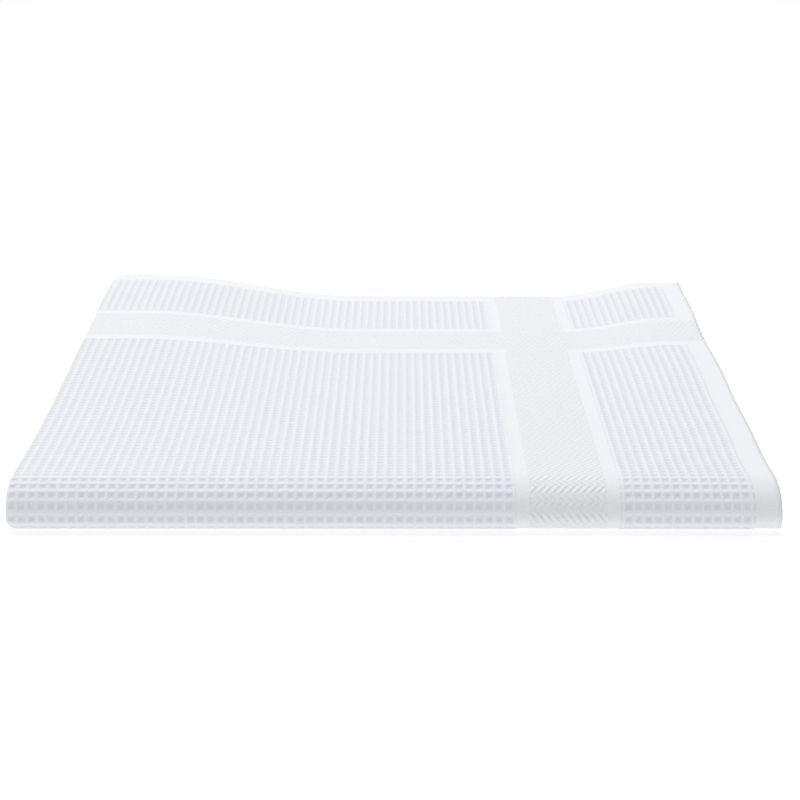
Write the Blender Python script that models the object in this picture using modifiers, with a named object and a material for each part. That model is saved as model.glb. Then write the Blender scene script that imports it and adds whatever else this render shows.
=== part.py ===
"""A white waffle glass cloth, folded once across its width and in thirds along its length.

The cloth is one sheet. It is modelled flat, as a grid of its cut size, and each point of
the grid is then carried to its folded place. Metres, +Z up, +Y away from the front fold.
"""
import math

import bmesh
import bpy

# driving sizes of the cloth
SHEET = 0.0019                # thickness of the woven sheet with its ridges
GAP = 0.0009                  # air between two neighbouring layers
HALF_WIDTH = 0.125            # half of the folded width
HALF_DEPTH = 0.116            # half of the folded depth, front fold to back fold

# driving sizes of the folds
STEP = SHEET + GAP            # from one layer's middle to the next one's
FOLD_DEPTH = 0.011            # how far back the front fold's upper rounding starts
FOLD_CORNER = 0.0030          # radius of the front fold's lower corner
FREE_END_INSET = 0.012        # from the front to the free end that lies inside
BACK_END_INSET = 0.002        # from the back to the free end that lies on top

# loft of the back and of its two corners: height, the side it is on (0 is the whole width),
# where it starts and ends across the width, and where it starts along the depth
LOFTS = (
    {"height": 0.0018, "side": 0, "start": -1.0, "full": 0.0, "from_y": -0.090},
    {"height": 0.0103, "side": -1, "start": 0.018, "full": 0.104, "from_y": -0.080},
    {"height": 0.0068, "side": 1, "start": 0.072, "full": 0.112, "from_y": -0.060},
)

# waves of the cut edges: height of the wave, waves over the length, and its start
EDGE_WAVES = (
    {"height": 0.0009, "turns": 2.3, "start": 0.4},
    {"height": 0.0005, "turns": 5.1, "start": 1.9},
)

LOWEST = SHEET / 2            # middle height of the bottom layer
LOW_RUN = LOWEST + STEP / 2   # middle of the doubled sheet in the bottom third
MIDDLE_RUN = LOW_RUN + 2 * STEP
TOP_RUN = LOW_RUN + 4 * STEP
LEAF = STEP / 2               # from the doubled sheet's middle to either of its leaves


def smooth(value):
    """A soft ramp from 0 to 1."""
    value = min(max(value, 0.0), 1.0)
    return value * value * (3 - 2 * value)


def straight(start, end, steps):
    """Points from start up to, and without, end."""
    return [tuple(a + (b - a) * i / steps for a, b in zip(start, end)) for i in range(steps)]


def bend(centre, radii, first, last, steps):
    """Points on an elliptic arc, angles in degrees, up to and without the last one."""
    points = []
    for i in range(steps):
        angle = math.radians(first + (last - first) * i / steps)
        points.append((centre[0] + radii[0] * math.cos(angle), centre[1] + radii[1] * math.sin(angle)))
    return points


def path():
    """The doubled sheet's middle line in Y and Z, from its top free end to its inner one."""
    outer = 2 * LEAF - GAP / 2                       # from the middle line to the outer face
    front = -HALF_DEPTH + outer
    back = HALF_DEPTH - outer
    upper = TOP_RUN - LOW_RUN - FOLD_CORNER          # height of the front fold's upper rounding
    corner_z = LOW_RUN + FOLD_CORNER
    points = straight((HALF_DEPTH - BACK_END_INSET, TOP_RUN), (front + FOLD_DEPTH, TOP_RUN), 11)
    points += bend((front + FOLD_DEPTH, corner_z), (FOLD_DEPTH, upper), 90, 180, 6)
    points += bend((front + FOLD_CORNER, corner_z), (FOLD_CORNER, FOLD_CORNER), 180, 270, 4)
    points += straight((front + FOLD_CORNER, LOW_RUN), (back - STEP, LOW_RUN), 7)
    points += bend((back - STEP, LOW_RUN + STEP), (STEP, STEP), -90, 90, 6)
    points += straight((back - STEP, MIDDLE_RUN), (-HALF_DEPTH + FREE_END_INSET, MIDDLE_RUN), 7)
    points.append((-HALF_DEPTH + FREE_END_INSET, MIDDLE_RUN))
    return points


def section():
    """The doubled sheet across its width: place in X, and height over the middle line."""
    fold = -HALF_WIDTH + SHEET / 2 + LEAF
    points = straight((HALF_WIDTH, LEAF), (fold, LEAF), 11)
    points += bend((fold, 0.0), (LEAF, LEAF), 90, 270, 5)
    points += straight((fold, -LEAF), (HALF_WIDTH, -LEAF), 11)
    points.append((HALF_WIDTH, -LEAF))
    return points


def normals(points):
    """Each point's outward direction, square to the line through its neighbours."""
    found = []
    for i in range(len(points)):
        before = points[max(i - 1, 0)]
        after = points[min(i + 1, len(points) - 1)]
        run, rise = after[0] - before[0], after[1] - before[1]
        length = math.hypot(run, rise)
        found.append((rise / length, -run / length))
    return found


def loft(x, y):
    """How much thicker the stack is at a place, as a share of its height."""
    share = 0.0
    for row in LOFTS:
        across = smooth((row["side"] * x - row["start"]) / (row["full"] - row["start"]))
        along = smooth((y - row["from_y"]) / (HALF_DEPTH - row["from_y"]))
        share += row["height"] * across * along / (TOP_RUN + LEAF)
    return share


def edge_wave(along):
    """How far a cut edge wanders, from its place along the cloth, 0 to 1."""
    wave = 0.0
    for row in EDGE_WAVES:
        wave += row["height"] * (math.cos(math.tau * row["turns"] * along + row["start"]) - 1) / 2
    return wave


def folded(place, height, point, normal, along):
    """Where a point of the flat cloth lies once it is folded."""
    x = place + edge_wave(along) * smooth((place / HALF_WIDTH - 0.5) / 0.5)
    y = point[0] + normal[0] * height
    z = point[1] + normal[1] * height
    z = LOWEST + (z - LOWEST) * (1 + loft(x, y))
    return x, y, z


def make_cloth():
    """A flat grid, folded point by point and given its thickness."""
    line = path()
    outward = normals(line)
    across = section()
    columns, rows = len(across), len(line)
    cage = bmesh.new()
    bmesh.ops.create_grid(cage, x_segments=columns - 1, y_segments=rows - 1, size=1.0)
    for vertex in cage.verts:
        column = round((vertex.co.x + 1) / 2 * (columns - 1))
        row = round((vertex.co.y + 1) / 2 * (rows - 1))
        place, height = across[column]
        vertex.co = folded(place, height, line[row], outward[row], row / (rows - 1))
    mesh = bpy.data.meshes.new("glass_cloth")
    cage.to_mesh(mesh)
    cage.free()
    mesh.shade_smooth()
    cloth = bpy.data.objects.new("glass_cloth", mesh)
    body = cloth.modifiers.new("sheet", "SOLIDIFY")
    body.thickness = SHEET
    body.offset = 0.0
    body.use_even_offset = True
    return cloth


def cotton():
    """White cotton."""
    material = bpy.data.materials.new("cotton")
    material.use_nodes = True
    shader = material.node_tree.nodes["Principled BSDF"]
    shader.inputs["Base Color"].default_value = (0.84, 0.85, 0.88, 1.0)
    shader.inputs["Roughness"].default_value = 0.95
    return material


def main():
    for thing in list(bpy.data.objects):
        bpy.data.objects.remove(thing, do_unlink=True)
    parts = bpy.data.collections.new("glass_cloth")
    bpy.context.scene.collection.children.link(parts)
    cloth = make_cloth()
    cloth.data.materials.append(cotton())
    parts.objects.link(cloth)


main()
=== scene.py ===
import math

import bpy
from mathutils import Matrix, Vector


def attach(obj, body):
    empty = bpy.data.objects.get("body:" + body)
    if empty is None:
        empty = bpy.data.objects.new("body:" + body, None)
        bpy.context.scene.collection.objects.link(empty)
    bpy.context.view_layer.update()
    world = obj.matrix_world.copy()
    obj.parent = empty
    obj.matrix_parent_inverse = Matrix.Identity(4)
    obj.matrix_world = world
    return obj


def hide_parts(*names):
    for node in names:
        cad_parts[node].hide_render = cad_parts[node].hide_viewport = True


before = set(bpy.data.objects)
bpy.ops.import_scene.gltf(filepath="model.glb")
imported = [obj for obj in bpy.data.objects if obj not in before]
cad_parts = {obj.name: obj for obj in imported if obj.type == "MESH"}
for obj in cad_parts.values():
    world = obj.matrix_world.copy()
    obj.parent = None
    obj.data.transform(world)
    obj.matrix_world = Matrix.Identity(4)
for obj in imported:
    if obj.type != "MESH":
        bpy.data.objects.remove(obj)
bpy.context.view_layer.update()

# %% [markdown]
# A folded waffle glass cloth
#
# The real cloth is one sheet of white cotton, 50 by 70 cm, woven with small square hollows
# and a herringbone band near each edge. It lies folded in half and then in thirds. The
# frame gives the folded solid. This lesson lays a finer sheet on the same folds, weaves it,
# and lights it. All sizes are in metres.

# %% [markdown]
# The folds are worked out from the same few sizes as the solid. A doubled sheet follows a
# line in Y and Z: along the top to the front fold, back underneath, and in again between
# the two. The cloth could be draped by simulation instead, but a pressed stack of layers
# is steadier and truer as straight runs and bends, where each crease is a number.

# %% Sizes of the cloth and of its folds
CLOTH_WIDTH = 0.50
CLOTH_LENGTH = 0.70
SHEET = 0.0019                # thickness of the woven sheet with its ridges
GAP = 0.0009                  # air between two neighbouring layers
HALF_WIDTH = 0.125            # half of the folded width
HALF_DEPTH = 0.116            # half of the folded depth
STEP = SHEET + GAP            # from one layer's middle to the next one's
LEAF = STEP / 2               # from the doubled sheet's middle to either of its leaves
FOLD_DEPTH = 0.011            # how far back the front fold's upper rounding starts
FOLD_CORNER = 0.0030          # radius of the front fold's lower corner
FREE_END_INSET = 0.012        # from the front to the free end that lies inside
BACK_END_INSET = 0.002        # from the back to the free end that lies on top
LOWEST = SHEET / 2            # middle height of the bottom layer
LOW_RUN = LOWEST + LEAF
MIDDLE_RUN = LOW_RUN + 2 * STEP
TOP_RUN = LOW_RUN + 4 * STEP
print("six layers stand", round(1000 * (TOP_RUN + LEAF + LOWEST), 1), "mm high")

# %% [markdown]
# A cloth that was folded by hand is never quite even. The back stands a little loftier than
# the front, its two corners more so, and the cut edges wander. Each row of these tables is
# one soft ramp or one slow wave, and they are the same ones that shape the solid.

# %% Loft and wandering edges
LOFTS = (
    {"height": 0.0018, "side": 0, "start": -1.0, "full": 0.0, "from_y": -0.090},
    {"height": 0.0103, "side": -1, "start": 0.018, "full": 0.104, "from_y": -0.080},
    {"height": 0.0068, "side": 1, "start": 0.072, "full": 0.112, "from_y": -0.060},
)
EDGE_WAVES = (
    {"height": 0.0009, "turns": 2.3, "start": 0.4},
    {"height": 0.0005, "turns": 5.1, "start": 1.9},
)
EDGE_STARTS = 0.5             # share of the half width where the wandering sets in


def smooth(value):
    """A soft ramp from 0 to 1."""
    value = min(max(value, 0.0), 1.0)
    return value * value * (3 - 2 * value)


def loft(x, y):
    """How much thicker the stack is at a place, as a share of its height."""
    share = 0.0
    for row in LOFTS:
        side = smooth((row["side"] * x - row["start"]) / (row["full"] - row["start"]))
        along = smooth((y - row["from_y"]) / (HALF_DEPTH - row["from_y"]))
        share += row["height"] * side * along / (TOP_RUN + LEAF)
    return share


def edge_wave(along):
    """How far a cut edge wanders, from its place along the cloth, 0 to 1."""
    wave = 0.0
    for row in EDGE_WAVES:
        wave += row["height"] * (math.cos(math.tau * row["turns"] * along + row["start"]) - 1) / 2
    return wave


print("the lofty corner adds", round(1000 * loft(-HALF_WIDTH, HALF_DEPTH) * (TOP_RUN + LEAF), 1), "mm")

# %% [markdown]
# The weave is a grid of pyramid-shaped hollows between ridges, about 3.2 mm apart across the
# cloth. A band of herringbone runs along each edge, about five centimetres in, with a plain
# strip on both sides of it, and a plain border closes the cloth. Their places are kept as
# distances from the nearest edge of the flat cloth, so that one rule serves all four edges.

# %% Sizes of the weave
CELL_ACROSS = 0.0032
CELL_ALONG = 0.00275
RELIEF = 0.0007               # from the bottom of a hollow to the top of a ridge
PLAIN_RISE = 0.1 * RELIEF     # plain cloth lies a little over the middle of the relief
BAND_START = 0.0521
BAND_END = 0.0859
STRIP = 0.0045                # plain strip inside each side of a band
BORDER = 0.0085
FINE_ACROSS = CELL_ACROSS / 2
FINE_ALONG = CELL_ALONG / 2
print("hollows across the folded width:", round(2 * HALF_WIDTH / CELL_ACROSS))

# %% [markdown]
# The top and the front fold show, so they get two or more points to each hollow, and the
# tight fold gets more still. The layers inside and the underside are seldom seen, so they
# get a few long faces. Straight runs and elliptic bends are all that the line needs.

# %% Straight runs and bends
STEPS = {"front fold": 20, "front corner": 8, "underside": 30, "back fold": 12,
         "inside": 12, "side fold": 6, "inner leaf": 12}


def straight(start, end, steps):
    """Points from start up to, and without, end."""
    return [tuple(a + (b - a) * i / steps for a, b in zip(start, end)) for i in range(steps)]


def bend(centre, radii, first, last, steps):
    """Points on an elliptic arc, angles in degrees, up to and without the last one."""
    angles = [math.radians(first + (last - first) * i / steps) for i in range(steps)]
    return [(centre[0] + radii[0] * math.cos(a), centre[1] + radii[1] * math.sin(a)) for a in angles]


def lengths(points):
    """How far along its line each point lies."""
    found = [0.0]
    for before, after in zip(points, points[1:]):
        found.append(found[-1] + math.dist(before, after))
    return found


def normals(points):
    """Each point's outward direction, square to the line through its neighbours."""
    found = []
    for i in range(len(points)):
        before = points[max(i - 1, 0)]
        after = points[min(i + 1, len(points) - 1)]
        run, rise = after[0] - before[0], after[1] - before[1]
        found.append((rise / math.hypot(run, rise), -run / math.hypot(run, rise)))
    return found


print("a quarter bend in", len(bend((0, 0), (1, 1), 0, 90, STEPS["front corner"])), "steps")

# %% [markdown]
# Two lines make the whole cloth. One runs front to back and shows how it is folded in
# thirds. The other runs across and shows how it is folded in half. Every point of the
# cloth is a point of the first, moved out by a point of the second.

# %% The doubled sheet's line and its cross-section
def path():
    """The doubled sheet's middle line, from the free end on top to the one inside."""
    outer = 2 * LEAF - GAP / 2
    front = -HALF_DEPTH + outer
    back = HALF_DEPTH - outer
    upper = TOP_RUN - LOW_RUN - FOLD_CORNER
    corner = (front + FOLD_CORNER, LOW_RUN + FOLD_CORNER)
    top_start = HALF_DEPTH - BACK_END_INSET
    top_end = front + FOLD_DEPTH
    top_steps = round((top_start - top_end) / FINE_ALONG)
    free_end = (-HALF_DEPTH + FREE_END_INSET, MIDDLE_RUN)
    points = straight((top_start, TOP_RUN), (top_end, TOP_RUN), top_steps)
    points += bend((top_end, corner[1]), (FOLD_DEPTH, upper), 90, 180, STEPS["front fold"])
    points += bend(corner, (FOLD_CORNER, FOLD_CORNER), 180, 270, STEPS["front corner"])
    points += straight((corner[0], LOW_RUN), (back - STEP, LOW_RUN), STEPS["underside"])
    points += bend((back - STEP, LOW_RUN + STEP), (STEP, STEP), -90, 90, STEPS["back fold"])
    points += straight((back - STEP, MIDDLE_RUN), free_end, STEPS["inside"])
    points.append(free_end)
    return points


def section():
    """The doubled sheet across its width: place in X, height over the middle line."""
    fold = -HALF_WIDTH + SHEET / 2 + LEAF
    outer_steps = round((HALF_WIDTH - fold) / FINE_ACROSS)
    points = straight((HALF_WIDTH, LEAF), (fold, LEAF), outer_steps)
    points += bend((fold, 0.0), (LEAF, LEAF), 90, 270, STEPS["side fold"])
    points += straight((fold, -LEAF), (HALF_WIDTH, -LEAF), STEPS["inner leaf"])
    points.append((HALF_WIDTH, -LEAF))
    return points


line, across = path(), section()
flat_u, flat_v = lengths(across), lengths(line)
print("along its folds the sheet measures", round(flat_u[-1], 3), "by", round(flat_v[-1], 3), "m")
flat_u = [u * CLOTH_WIDTH / flat_u[-1] for u in flat_u]
flat_v = [v * CLOTH_LENGTH / flat_v[-1] for v in flat_v]
cell_across, cell_along = 2 * flat_u[1], 2 * flat_v[1]
print("the sheet is a grid of", len(across), "by", len(line), "points")
print("one hollow is", round(1000 * cell_across, 2), "by", round(1000 * cell_along, 2), "mm")

# %% [markdown]
# A hollow is deepest in the middle of its square, and a ridge stands along each side of it.
# Two folded cosine waves, one across and one along, give both with no picture. Where a band
# or the border lies, the cloth is plain.

# %% The relief of the weave
def weave_height(u, v):
    """The ridge or hollow at a place of the flat cloth, from half a relief down to half up."""
    from_side = min(u, CLOTH_WIDTH - u)
    from_end = min(v, CLOTH_LENGTH - v)
    in_band = BAND_START < from_side < BAND_END or BAND_START < from_end < BAND_END
    if in_band or from_side < BORDER or from_end < BORDER:
        return PLAIN_RISE
    ridge_across = abs(math.cos(math.pi * u / cell_across))
    ridge_along = abs(math.cos(math.pi * v / cell_along))
    return RELIEF * (max(ridge_across, ridge_along) - 0.5)


print("in a band the cloth rises", round(1000 * weave_height(BAND_START + STRIP, BAND_START), 2), "mm")

# %% [markdown]
# A flat grid is the woven sheet. Each of its points is carried to its folded place, a
# little in or out for its hollow or ridge, and the flat place is kept as a UV map in
# metres, so that the fine yarn can follow the cloth round its folds.

# %% The sheet
bpy.ops.object.select_all(action="DESELECT")
bpy.ops.mesh.primitive_grid_add(x_subdivisions=len(across) - 1, y_subdivisions=len(line) - 1, size=2)
cloth = bpy.context.object
cloth.name = "waffle_cloth"
outward, sideways = normals(line), normals(across)
flat = {}
for vertex in cloth.data.vertices:
    column = round((vertex.co.x + 1) / 2 * (len(across) - 1))
    row = round((vertex.co.y + 1) / 2 * (len(line) - 1))
    u, v = flat_u[column], flat_v[row]
    rise = weave_height(u, v)
    x = across[column][0] + sideways[column][0] * rise
    height = across[column][1] + sideways[column][1] * rise
    along = row / (len(line) - 1)
    near_edge = (across[column][0] / HALF_WIDTH - EDGE_STARTS) / (1 - EDGE_STARTS)
    x += edge_wave(along) * smooth(near_edge)
    y = line[row][0] + outward[row][0] * height
    z = line[row][1] + outward[row][1] * height
    vertex.co = (x, y, LOWEST + (z - LOWEST) * (1 + loft(x, y)))
    flat[vertex.index] = (u, v)
flat_map = cloth.data.uv_layers.new(name="flat")
for loop in cloth.data.loops:
    flat_map.data[loop.index].uv = flat[loop.vertex_index]
print("points carried to their folds:", len(flat))

# %% [markdown]
# So far the sheet is a surface. Solidify gives it the thickness of the yarn under its
# relief, half to each side, so that ridges and yarn together are as thick as the real cloth.

# %% Its thickness
body = cloth.modifiers.new("thickness", "SOLIDIFY")
body.thickness = SHEET - RELIEF
body.offset = 0.0
bpy.ops.object.modifier_apply(modifier=body.name)
cloth.data.shade_smooth()
cloth.data.uv_layers.active = cloth.data.uv_layers["flat"]
cloth.data.calc_loop_triangles()
print("triangles in the cloth:", len(cloth.data.loop_triangles))

# %% [markdown]
# The yarn is finer than any mesh should be, so it is a bump. Its rule is built from math
# nodes. Two helpers keep that readable: one adds a math node, and one asks whether a value
# lies between two limits.

# %% Helpers for math nodes
def number(tree, kind, first, second=None):
    """A math node of the given kind, fed with sockets or plain numbers."""
    node = tree.nodes.new("ShaderNodeMath")
    node.operation = kind
    for socket, value in zip(node.inputs, (first, second)):
        if isinstance(value, (int, float)):
            socket.default_value = value
        elif value is not None:
            tree.links.new(value, socket)
    return node.outputs[0]


def within(tree, value, low, high):
    """1 where the value lies between two limits."""
    return number(tree, "MULTIPLY", number(tree, "GREATER_THAN", value, low),
                  number(tree, "LESS_THAN", value, high))


print("two helpers are ready")

# %% [markdown]
# The group works out, from the flat place, where ridges, bands and borders lie. It gives a
# height for the bump and a mask of the hollows, where the colour is painted a little cooler
# and darker as painted shade. Herringbone is a row of slanting lines that turn back every few
# millimetres.

# %% The weave as a node group
YARN_PITCH = 0.0024           # from one herringbone line to the next
ZIGZAG = 0.0026               # how far a line runs before it turns back
LINE_HEIGHT = 0.45            # heights here are shares of the bump's distance
PLAIN_HEIGHT = 0.5
RIDGE_NARROWS = 2.5           # a higher power makes narrower ridges
PEBBLES_PER_METRE = 1400.0
PEBBLE_HEIGHT = 0.55
GROUP_SIZES = {"Cell Across": cell_across, "Cell Along": cell_along, "Band Start": BAND_START,
               "Band End": BAND_END, "Border": BORDER, "Yarn": YARN_PITCH}


def ridges_of(tree, u, v, given):
    """1 on the ridges and 0 in the middle of the hollows."""
    ridges = []
    for place, cell in ((u, given["Cell Across"]), (v, given["Cell Along"])):
        turn = number(tree, "MULTIPLY", number(tree, "DIVIDE", place, cell), math.pi)
        ridges.append(number(tree, "ABSOLUTE", number(tree, "COSINE", turn)))
    return number(tree, "POWER", number(tree, "MAXIMUM", ridges[0], ridges[1]), RIDGE_NARROWS)


def herringbone_of(tree, u, v, given):
    """Slanting lines that turn back at even distances."""
    zigzag = number(tree, "PINGPONG", v, ZIGZAG)
    lines = number(tree, "DIVIDE", number(tree, "SUBTRACT", u, zigzag), given["Yarn"])
    wave = number(tree, "COSINE", number(tree, "MULTIPLY", lines, math.tau))
    return number(tree, "MULTIPLY", LINE_HEIGHT, wave)


def either_way(tree, from_side, from_end, low, high):
    """1 where the distance from a side or from an end lies between two limits."""
    return number(tree, "MAXIMUM", within(tree, from_side, low, high), within(tree, from_end, low, high))


def woven_group():
    """Height and painted hollow shade of the waffle weave from a flat place in metres."""
    tree = bpy.data.node_groups.new("waffle weave", "ShaderNodeTree")
    tree.interface.new_socket("Flat", in_out="INPUT", socket_type="NodeSocketVector")
    for name in GROUP_SIZES:
        tree.interface.new_socket(name, in_out="INPUT", socket_type="NodeSocketFloat")
    for name in ("Height", "Hollow Shade"):
        tree.interface.new_socket(name, in_out="OUTPUT", socket_type="NodeSocketFloat")
    given = tree.nodes.new("NodeGroupInput").outputs
    result = tree.nodes.new("NodeGroupOutput").inputs
    parts = tree.nodes.new("ShaderNodeSeparateXYZ")
    tree.links.new(given["Flat"], parts.inputs[0])
    u, v = parts.outputs["X"], parts.outputs["Y"]
    from_side = number(tree, "MINIMUM", u, number(tree, "SUBTRACT", CLOTH_WIDTH, u))
    from_end = number(tree, "MINIMUM", v, number(tree, "SUBTRACT", CLOTH_LENGTH, v))
    band = either_way(tree, from_side, from_end, given["Band Start"], given["Band End"])
    nearest = number(tree, "MINIMUM", from_side, from_end)
    plain = number(tree, "MAXIMUM", band, number(tree, "LESS_THAN", nearest, given["Border"]))
    waffle = number(tree, "SUBTRACT", 1.0, plain)
    ridge = ridges_of(tree, u, v, given)
    inner_start = number(tree, "ADD", given["Band Start"], STRIP)
    inner_end = number(tree, "SUBTRACT", given["Band End"], STRIP)
    inner = either_way(tree, from_side, from_end, inner_start, inner_end)
    yarn = number(tree, "MULTIPLY", herringbone_of(tree, u, v, given), inner)
    plain_height = number(tree, "MULTIPLY", plain, number(tree, "ADD", PLAIN_HEIGHT, yarn))
    pebbles = tree.nodes.new("ShaderNodeTexNoise")
    pebbles.inputs["Scale"].default_value = PEBBLES_PER_METRE
    tree.links.new(given["Flat"], pebbles.inputs["Vector"])
    fine = number(tree, "MULTIPLY", pebbles.outputs[0], PEBBLE_HEIGHT)
    height = number(tree, "ADD", number(tree, "MULTIPLY", ridge, waffle), plain_height)
    height = number(tree, "ADD", height, fine)
    # Painted shade: this mask darkens the colour in the hollows of the waffle for the shade that falls
    # in them.
    hollow = number(tree, "MULTIPLY", number(tree, "SUBTRACT", 1.0, ridge), waffle)
    tree.links.new(height, result["Height"])
    tree.links.new(hollow, result["Hollow Shade"])
    return tree


weave = woven_group()
print("the weave group has", len(weave.nodes), "nodes")

# %% [markdown]
# Bleached cotton is matt and very light. Its ridges are nearly white, and its hollows
# are painted a little darker and lavender, as painted shade. A faint sheen stands for the fluff of the
# yarn.

# %% White cotton
RIDGE_WHITE = (0.87, 0.875, 0.90, 1.0)
# Painted shade: the darker, cooler colour given to the hollows stands for shade, while the cotton is
# white throughout.
HOLLOW_PAINTED_SHADE = (0.78, 0.79, 0.86, 1.0)
cotton = bpy.data.materials.new("white_cotton")
cotton.use_nodes = True
tree = cotton.node_tree
shader = tree.nodes["Principled BSDF"]
shader.inputs["Roughness"].default_value = 0.95
shader.inputs["Specular IOR Level"].default_value = 0.2
shader.inputs["Sheen Weight"].default_value = 0.10
places = tree.nodes.new("ShaderNodeUVMap")
places.uv_map = "flat"
woven = tree.nodes.new("ShaderNodeGroup")
woven.node_tree = weave
tree.links.new(places.outputs["UV"], woven.inputs["Flat"])
for name, size in GROUP_SIZES.items():
    woven.inputs[name].default_value = size
# Painted shade: the mix takes the colour from cotton white on the ridges to the painted hollow shade in
# the hollows.
hollow_shade_mix = tree.nodes.new("ShaderNodeMix")
hollow_shade_mix.data_type = "RGBA"
hollow_shade_mix.inputs["A"].default_value = RIDGE_WHITE
hollow_shade_mix.inputs["B"].default_value = HOLLOW_PAINTED_SHADE
tree.links.new(woven.outputs["Hollow Shade"], hollow_shade_mix.inputs["Factor"])
tree.links.new(hollow_shade_mix.outputs["Result"], shader.inputs["Base Color"])
bump = tree.nodes.new("ShaderNodeBump")
bump.inputs["Strength"].default_value = 0.5
bump.inputs["Distance"].default_value = RELIEF
tree.links.new(woven.outputs["Height"], bump.inputs["Height"])
tree.links.new(bump.outputs["Normal"], shader.inputs["Normal"])
cloth.data.materials.append(cotton)
print("cotton is ready, with a relief of", 1000 * RELIEF, "mm")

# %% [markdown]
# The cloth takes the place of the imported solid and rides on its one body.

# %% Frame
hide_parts("glass_cloth")
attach(cloth, "root")
print("the cloth stands for the solid")

# %% [markdown]
# The cloth lies on a plain white table. The table glows a little, so that it stays white
# right up to the cloth and throws a soft light back under the front fold.

# %% Table
TABLE_SIZE = 6.0
TABLE_DROP = 0.0004           # the relief underneath reaches a little below zero
bpy.ops.mesh.primitive_plane_add(size=TABLE_SIZE, location=(0, 0, -TABLE_DROP))
table = bpy.context.object
table.name = "table"
white = bpy.data.materials.new("table_white")
white.use_nodes = True
surface = white.node_tree.nodes["Principled BSDF"]
surface.inputs["Base Color"].default_value = (0.60, 0.60, 0.60, 1.0)
surface.inputs["Roughness"].default_value = 1.0
surface.inputs["Specular IOR Level"].default_value = 0.0
surface.inputs["Emission Color"].default_value = (1.0, 1.0, 1.0, 1.0)
surface.inputs["Emission Strength"].default_value = 0.55
table.data.materials.append(white)
print("the table is", TABLE_SIZE, "m wide")

# %% [markdown]
# White cloth shows its form only by soft shade. Most of the light comes from a wide lamp
# over the back, so that the top is bright and the front fold falls into shade. An even pale
# sky fills the rest.

# %% Light
world = bpy.context.scene.world or bpy.data.worlds.new("studio")
bpy.context.scene.world = world
world.use_nodes = True
world.node_tree.nodes["Background"].inputs["Color"].default_value = (0.98, 0.98, 1.0, 1.0)
world.node_tree.nodes["Background"].inputs["Strength"].default_value = 0.50

bpy.ops.object.light_add(type="AREA", location=(-0.25, 0.45, 1.5))
lamp = bpy.context.object
lamp.name = "soft_light"
lamp.data.shape = "RECTANGLE"
lamp.data.size = 1.8
lamp.data.size_y = 1.2
lamp.data.energy = 19.5
aim = Vector((0, 0, 0)) - lamp.location
lamp.rotation_euler = aim.to_track_quat("-Z", "Y").to_euler()
print("lamp at", tuple(lamp.location))

# %% [markdown]
# The camera looks down a little on the front fold, with a long lens. Its tilt and height
# were worked out from the cloth's side edges, which meet at one point far above the picture,
# and from its width in front. The plain view transform keeps white cotton white.

# %% Camera
LENS = 78.3
SENSOR = 36.0
TILT_DOWN = math.radians(18.43)
TURN_LEFT = 0.0023
CAMERA_PLACE = (0.0032, -0.6330, 0.2177)
bpy.ops.object.camera_add(location=CAMERA_PLACE,
                          rotation=(math.pi / 2 - TILT_DOWN, 0.0, TURN_LEFT))
camera = bpy.context.object
camera.data.lens = LENS
camera.data.sensor_width = SENSOR
camera.data.clip_start = 0.01
bpy.context.scene.camera = camera
bpy.context.scene.view_settings.view_transform = "Standard"
print("camera tilts down", round(math.degrees(TILT_DOWN), 1), "degrees")
